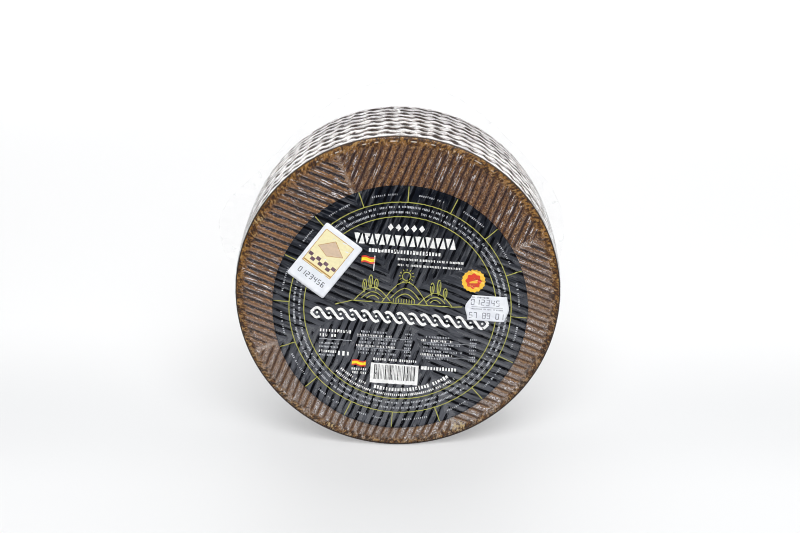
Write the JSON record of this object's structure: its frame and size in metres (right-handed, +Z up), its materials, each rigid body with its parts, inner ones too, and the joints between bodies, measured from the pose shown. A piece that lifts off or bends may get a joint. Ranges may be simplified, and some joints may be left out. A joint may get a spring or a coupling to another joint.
{
  "type": "manchego cheese wheel",
  "caption": "Whole hard cheese wheel with pressed ridges and a plaited side, vacuum packed in clear film with a round label, standing on its edge.",
  "frame": {"origin": "middle of the flat spot that the wheel stands on, straight below the wheel's axis and halfway through its depth", "axes": "+Z up, +Y along the wheel's axis from the labelled face to the plain one, +X to the right as seen from in front of the labelled face"},
  "size_m": [0.2228, 0.0914, 0.2148],
  "materials": {
    "rind": "dark brown waxy cheese rind with pressed ridges, glossy where the clear film lies on it",
    "film": "clear glossy plastic vacuum film, crinkled at its free margin",
    "label": "near-black printed paper under clear film, creased over the ridges below it",
    "card": "white coated paper with a small colour print",
    "sticker": "matte white paper with grey stamped marks"
  },
  "bodies": {
    "root": {"wrapped_wheel": "rind", "film_margin": "film", "round_label": "label", "control_label": "card", "date_sticker": "sticker"}
  },
  "joints": []
}
